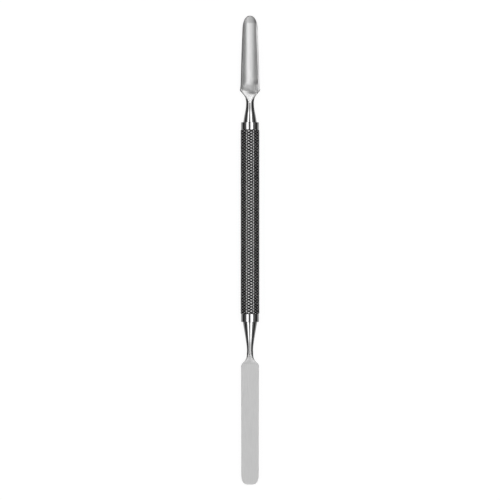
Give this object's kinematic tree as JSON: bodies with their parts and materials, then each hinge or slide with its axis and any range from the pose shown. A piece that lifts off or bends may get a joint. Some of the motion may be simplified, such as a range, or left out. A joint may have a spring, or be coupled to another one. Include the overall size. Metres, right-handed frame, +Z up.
{
  "type": "cuticle pusher",
  "caption": "Double-ended steel nail tool: knurled octagonal grip with round collars, a tapered hollow gouge on one end and a flat round-ended spatula on the other.",
  "frame": {"origin": "on the surface that the grip's lowest flat rests on, below the middle of the tool's length and width", "axes": "+X across the blades, +Y along the tool towards the gouge, +Z up out of the gouge's hollow face"},
  "size_m": [0.0066, 0.15, 0.006],
  "materials": {
    "knurled_steel": "diamond knurled stainless steel, bright crests and dark grooves",
    "polished_steel": "mirror-polished turned stainless steel",
    "satin_steel": "lengthwise satin on the blades, running into a polished cone at the grip"
  },
  "bodies": {
    "root": {"grip_handle": "knurled_steel", "gouge_collar": "polished_steel", "spatula_collar": "polished_steel", "gouge_end": "satin_steel", "spatula_end": "satin_steel"}
  },
  "joints": []
}
